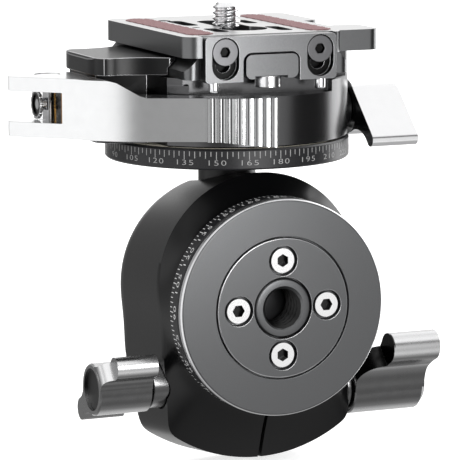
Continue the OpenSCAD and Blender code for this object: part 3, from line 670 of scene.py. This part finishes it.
def make_camera_screw():
    """1/4 inch, 20 threads to the inch, with an undercut neck, and its slotted head."""
    top, pitch, n = 64.4, 1.27, 64
    v, f, ix = [], [], []
    z0, z1 = 58.9, top
    rows = int((z1 - z0) / 0.07)
    for i in range(rows + 1):
        z = z0 + (z1 - z0) * i / rows
        for j in range(n):
            a = 2 * math.pi * j / n
            r = thread_form((z - z0) / pitch - j / n, 3.17, 2.52)
            r = min(r, 2.2 + (top - z) * 1.05, 2.62 + (z - z0) * 1.1)
            v.append(P(r * math.cos(a), r * math.sin(a), z))
    for i in range(rows):
        for j in range(n):
            j2 = (j + 1) % n
            f.append((i * n + j, i * n + j2, (i + 1) * n + j2, (i + 1) * n + j))
    c = len(v)
    v.append(P(0, 0, top))
    f += [(rows * n + j, rows * n + (j + 1) % n, c) for j in range(n)]
    low = [(2.62, 58.9), (2.62, 54.05), (6.25, 54.05), (6.4, 53.9), (6.4, 51.6), (6.0, 51.2)]
    b = len(v)
    for r, z in low:
        for j in range(n):
            a = 2 * math.pi * j / n
            v.append(P(r * math.cos(a), r * math.sin(a), z))
    for i in range(len(low) - 1):
        for j in range(n):
            j2 = (j + 1) % n
            f.append((b + i * n + j, b + i * n + j2, b + (i + 1) * n + j2, b + (i + 1) * n + j))
    # underside with a driver slot: two half discs and a sunk floor between
    hw, deep, rr = 0.75, 52.6, 6.0
    last = b + (len(low) - 1) * n
    for sgn in (1, -1):
        ring = [last + j for j in range(n) if sgn * math.sin(2 * math.pi * j / n) * rr > hw]
        ring.sort(key=lambda q: -sgn * math.cos(2 * math.pi * (q - last) / n))
        x = math.sqrt(rr * rr - hw * hw)
        e = len(v)
        v += [P(x, sgn * hw, 51.2), P(-x, sgn * hw, 51.2), P(x, sgn * hw, deep), P(-x, sgn * hw, deep)]
        f.append(tuple([e + 1] + ring + [e]))
        f.append((e, e + 1, e + 3, e + 2))
        if sgn > 0:
            first = e
    f.append((first + 2, first + 3, e + 3, e + 2))
    ends = {1: first, -1: e}
    for sx, k in ((1, 0), (-1, 1)):
        f.append((ends[1] + k, ends[1] + 2 + k, ends[-1] + 2 + k, ends[-1] + k))
    o = make_object("camera_screw_threaded", v, f, ["steel"], None, 24)
    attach(o, "camera_screw")
    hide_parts("camera_screw")


def make_strip(x, w, length, name):
    """Rubber strip with fine slanting ribs crossed by shallow grooves."""
    zb, zt, half, r = 58.5, 59.55, length / 2, w / 2
    v, f = [], []
    n, cols, pitch = int(length / 0.14), 36, 1.05
    for i in range(n + 1):
        y = -half + length * i / n
        d = max(0.0, abs(y) - (half - r))
        hw = max(0.25, math.sqrt(max(0.0, r * r - d * d)))
        row = [(-hw, zb), (-hw, zt - 0.3)]
        for c in range(cols + 1):
            u = (-1 + 2 * c / cols) * (hw - 0.12)
            g = 2 * math.pi / pitch
            h = 0.5 + 0.35 * math.cos(g * (u + 0.25 * y)) + 0.15 * math.cos(g * y)
            row.append((u, zt - 0.34 * (1 - h ** 0.7)))
        row += [(hw, zt - 0.3), (hw, zb)]
        for u, zz in row:
            v.append(P(x + u, y, zz))
    m = cols + 5
    for i in range(n):
        for k in range(m):
            k2 = (k + 1) % m
            f.append((i * m + k, i * m + k2, (i + 1) * m + k2, (i + 1) * m + k))
    f.append(tuple(range(m)))
    f.append(tuple(n * m + k for k in range(m)))
    return v, f


def make_strips():
    v, f, ix = [], [], []
    for x, w in ((-14, 6.3), (14.2, 5.8)):
        a, b = make_strip(x, w, 42.3, "strip")
        add_mesh(v, f, ix, a, b, 0)
    o = make_object("ribbed_strips", v, f, ["rose_top"], ix, 40)
    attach(o, "plate")
    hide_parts("grip_strips")


def house_radius(phi, y):
    """Distance of the housing outline from the ball axis, phi from straight up."""
    r = 24 - 0.45 * (y + 18.5) / 25.6
    c, q = math.cos(phi), abs(math.sin(phi))
    ra = 4.2 * c + math.sqrt(r * r - (4.2 * q) ** 2)
    rb = 0.0
    if q > 1e-6 or c < 0:
        den = q - 0.0361 * c
        rb = 22.844 / den if den > 1e-3 else 1e3
        if rb * c > 4:
            rb = 0.0
    return min(35.97, max(ra, rb))


def make_housing():
    n = 240
    ang = [2 * math.pi * j / n for j in range(n)]

    def section(y):
        raw = [house_radius(a, y) for a in ang]
        for _ in range(3):
            raw = [(raw[j - 1] + 2 * raw[j] + raw[(j + 1) % n]) / 4 for j in range(n)]
        soft = raw
        for _ in range(60):
            soft = [(soft[j - 1] + 2 * soft[j] + soft[(j + 1) % n]) / 4 for j in range(n)]
        out = []
        for j in range(n):
            deg = abs((math.degrees(ang[j]) + 180) % 360 - 180)
            w = min(1.0, max(0.0, (34 - abs(deg - 98)) / 14))
            w = w * w * (3 - 2 * w)
            out.append(raw[j] * (1 - w) + soft[j] * w)
        return out

    crease = section(-18.5)
    stations = []
    for i in range(15):
        t = i / 14
        g = t ** 1.45
        stations.append((-24.4 + 5.9 * t, [23.4 + (R - 23.4) * g for R in crease], 0.0))
    for i in range(1, 17):
        y = -18.5 + 25.6 * i / 16
        s = -(y + 18.5) * 0.125
        edge = 0.35 if i == 16 else 0.0
        stations.append((y, [R - edge for R in section(y)], s))
    v, f = [], []
    for y, rad, s in stations:
        for a, R in zip(ang, rad):
            v.append(P(R * math.sin(a), y, s + R * math.cos(a)))
    m = len(stations)
    for i in range(m - 1):
        for j in range(n):
            j2 = (j + 1) % n
            f.append((i * n + j, i * n + j2, (i + 1) * n + j2, (i + 1) * n + j))
    f.append(tuple(range(n)))
    f.append(tuple((m - 1) * n + j for j in range(n)))
    o = make_object("housing_smooth", v, f, ["black"])

    def prism(name, outline, axis, a, b):
        k = len(outline)
        vs = []
        for t in (a, b):
            for u, w in outline:
                vs.append(P(t, u, w) if axis == "x" else P(u, t, w) if axis == "y" else P(u, w, t))
        fs = [tuple(range(k)), tuple(range(2 * k - 1, k - 1, -1))]
        fs += [(i, (i + 1) % k, k + (i + 1) % k, k + i) for i in range(k)]
        return make_object(name, vs, fs, ["black"])

    def circle(r, u=0, w=0, k=128):
        return [(u + r * math.cos(2 * math.pi * i / k), w + r * math.sin(2 * math.pi * i / k)) for i in range(k)]

    cut = [prism("c0", [(-4.2, -60), (-4.2, -36.4), (-1.9, -31.6), (0.5, -27.1), (3.4, -20.2), (6.2, -12.2), (7.1, -1.5), (12, -1.5), (12, -60)], "x", -40, 40),
           prism("c1", circle(18.1), "y", -21.5, -4), prism("c2", circle(20.1), "y", -26, -21.4),
           prism("c3", [(-6.9, 4), (6.9, 4), (6.9, 60), (-6.9, 60)], "y", 0, 30),
           prism("c4", circle(6.9), "z", 4, 60),
           prism("c5", [(-40, -60), (40, -60), (40, -10), (-40, -10)], "x", -0.4, 0.4),
           prism("c6", circle(3.1, -13.5, -22.5, 64), "x", -9, 40), prism("c7", circle(4.05, -13.5, -22.5, 64), "x", -7.6, 0),
           prism("c8", circle(4.6, -13.5, -22.5, 64), "x", 19, 40), prism("c9", circle(5.6, -13.5, -22.5, 96), "x", 21.4, 40),
           prism("c10", circle(2.55, -13.5, -18.5, 64), "x", -15, 0), prism("c11", circle(3.1, -13.5, -18.5, 64), "x", -40, -14.9),
           prism("c12", circle(5.6, -13.5, -18.5, 96), "x", -40, -21.2)]
    bm = bmesh.new()
    bmesh.ops.create_uvsphere(bm, u_segments=96, v_segments=64, radius=18.1 * MM, matrix=Matrix.Translation(P(0, 0, 0)))
    me = bpy.data.meshes.new("c13")
    bm.to_mesh(me)
    bm.free()
    ball = bpy.data.objects.new("c13", me)
    SC.collection.objects.link(ball)
    cut.append(ball)
    cone_v = [P(r * math.cos(2 * math.pi * i / 128), y, r * math.sin(2 * math.pi * i / 128)) for r, y in ((16.6, 5.7), (18.9, 8.0)) for i in range(128)]
    cone_f = [tuple(range(128)), tuple(range(255, 127, -1))] + [(i, (i + 1) % 128, 128 + (i + 1) % 128, 128 + i) for i in range(128)]
    cut.append(make_object("c14", cone_v, cone_f, ["black"]))
    for c in cut:
        b = o.modifiers.new(c.name, "BOOLEAN")
        b.operation = "DIFFERENCE"
        b.solver = "EXACT"
        b.object = c
    dg = bpy.context.evaluated_depsgraph_get()
    me = bpy.data.meshes.new_from_object(o.evaluated_get(dg))
    o.modifiers.clear()
    o.data = me
    me.materials.clear()
    me.materials.append(M["black"])
    me.polygons.foreach_set("material_index", [0] * len(me.polygons))
    me.polygons.foreach_set("use_smooth", [True] * len(me.polygons))
    me.set_sharp_from_angle(angle=math.radians(26))
    for c in cut:
        bpy.data.objects.remove(c)
    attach(o, "housing")
    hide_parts("housing")


make_scale_disc()
make_base_scale()
make_bush()
make_camera_screw()
make_strips()
make_housing()

# ------------------------------------------------------------ floor and light
lowest = CAD_BOX[0].z


def make_stage():
    me = bpy.data.meshes.new("floor")
    bm = bmesh.new()
    prof = [(-3.0, lowest - 0.0005)]
    prof += [(1.2, lowest - 0.0005)]
    for i in range(1, 13):
        a = math.pi / 2 * i / 12
        prof.append((1.2 + 0.5 * math.sin(a), lowest - 0.0005 + 0.5 * (1 - math.cos(a))))
    prof.append((1.7, 3.0))
    rows = []
    for x in (-4, 4):
        rows.append([bm.verts.new((x, y, z)) for y, z in prof])
    for i in range(len(prof) - 1):
        bm.faces.new((rows[0][i], rows[1][i], rows[1][i + 1], rows[0][i + 1]))
    bm.to_mesh(me)
    me.polygons.foreach_set("use_smooth", [True] * len(me.polygons))
    o = bpy.data.objects.new("floor", me)
    SC.collection.objects.link(o)
    k = Mat("pale_floor", (0.8, 0.8, 0.8), 0.0, 0.8)
    n = k.noise(3, 2)
    k.link(k.mix(k.remap(n, 0, 1), (0.79, 0.79, 0.79), (0.81, 0.81, 0.81)), k.b.inputs["Base Color"])
    k.b.inputs["Emission Color"].default_value = (1, 1, 1, 1)
    k.b.inputs["Emission Strength"].default_value = 0.72
    me.materials.append(k.m)
    o.visible_glossy = False
    o.visible_diffuse = False


make_stage()


def area(name, loc, target, size, power, size_y=None, color=(1, 1, 1)):
    l = bpy.data.lights.new(name, "AREA")
    l.energy = power
    l.color = color
    l.shape = "RECTANGLE"
    l.size = size
    l.size_y = size_y or size
    o = bpy.data.objects.new(name, l)
    SC.collection.objects.link(o)
    o.location = loc
    d = Vector(target) - Vector(loc)
    o.rotation_mode = "QUATERNION"
    o.rotation_quaternion = d.to_track_quat("-Z", "Y")
    return o


# Soft boxes round the object, written as a studio dome: azimuth from the front (-Y)
# towards +X, half width, softness, height of the middle, half height, softness, light.
PANELS = [
    (147, 25, 11, 0.15, 0.45, 0.35, 1.15),      # white sweep behind
    (104, 8, 7, 0.1, 0.5, 0.25, 4.0),           # narrow strip on the right
    (-84, 29, 20, -0.05, 0.45, 0.25, 1.1),      # broad box on the left
    (-150, 25, 20, 0.0, 0.5, 0.3, 0.3),         # dim sweep behind on the left
    (26, 9, 9, -0.15, 0.35, 0.3, 0.85),         # front right box, seen in the mounting face
    (-18, 16, 22, 0.15, 0.3, 0.35, 0.27),       # dim front panel
    (0, 180, 10, 1.0, 0.22, 0.28, 1.08),         # overhead
    (0, 180, 10, -1.0, 0.3, 0.35, 0.42),         # light thrown back by the table
]
AMBIENT = 0.07


def make_world():
    w = bpy.data.worlds.new("studio")
    SC.world = w
    w.use_nodes = True
    nt = w.node_tree
    bg = nt.nodes["Background"]

    def math_node(op, a, b=None):
        n = nt.nodes.new("ShaderNodeMath")
        n.operation = op
        for i, v in enumerate((a, b)):
            if v is None:
                continue
            if hasattr(v, "links"):
                nt.links.new(v, n.inputs[i])
            else:
                n.inputs[i].default_value = v
        return n.outputs[0]

    def smooth(v, a, b):
        n = nt.nodes.new("ShaderNodeMapRange")
        n.interpolation_type = "SMOOTHSTEP"
        n.inputs["From Min"].default_value = a
        n.inputs["From Max"].default_value = b
        nt.links.new(v, n.inputs["Value"])
        return n.outputs["Result"]

    tc = nt.nodes.new("ShaderNodeTexCoord")
    sep = nt.nodes.new("ShaderNodeSeparateXYZ")
    nt.links.new(tc.outputs["Generated"], sep.inputs[0])
    theta = math_node("ARCTAN2", sep.outputs[0], math_node("MULTIPLY", sep.outputs[1], -1.0))
    z = sep.outputs[2]
    total = None
    for az, hw, sw, z0, hz, sz, lum in PANELS:
        c = math_node("COSINE", math_node("SUBTRACT", theta, math.radians(az)))
        v = math_node("ABSOLUTE", math_node("SUBTRACT", z, z0))
        m = smooth(v, hz + sz, hz)
        if hw < 180:
            m = math_node("MULTIPLY", m, smooth(c, math.cos(math.radians(min(180, hw + sw))), math.cos(math.radians(hw))))
        m = math_node("MULTIPLY", m, lum)
        total = m if total is None else math_node("ADD", total, m)
    total = math_node("ADD", total, AMBIENT)
    lp = nt.nodes.new("ShaderNodeLightPath")
    mx = nt.nodes.new("ShaderNodeMix")
    mx.data_type = "FLOAT"
    nt.links.new(lp.outputs["Is Camera Ray"], mx.inputs[0])
    nt.links.new(total, mx.inputs[2])
    mx.inputs[3].default_value = 1.0
    nt.links.new(mx.outputs[0], bg.inputs["Color"])
    bg.inputs["Strength"].default_value = 1.0


make_world()
C = P(0, 0, 12)
near = area("near_front", P(5, -172, 34), P(-8, -32, 8), 0.08, 0.12, 0.08)
near.visible_camera = False
SC.view_settings.view_transform = "Standard"
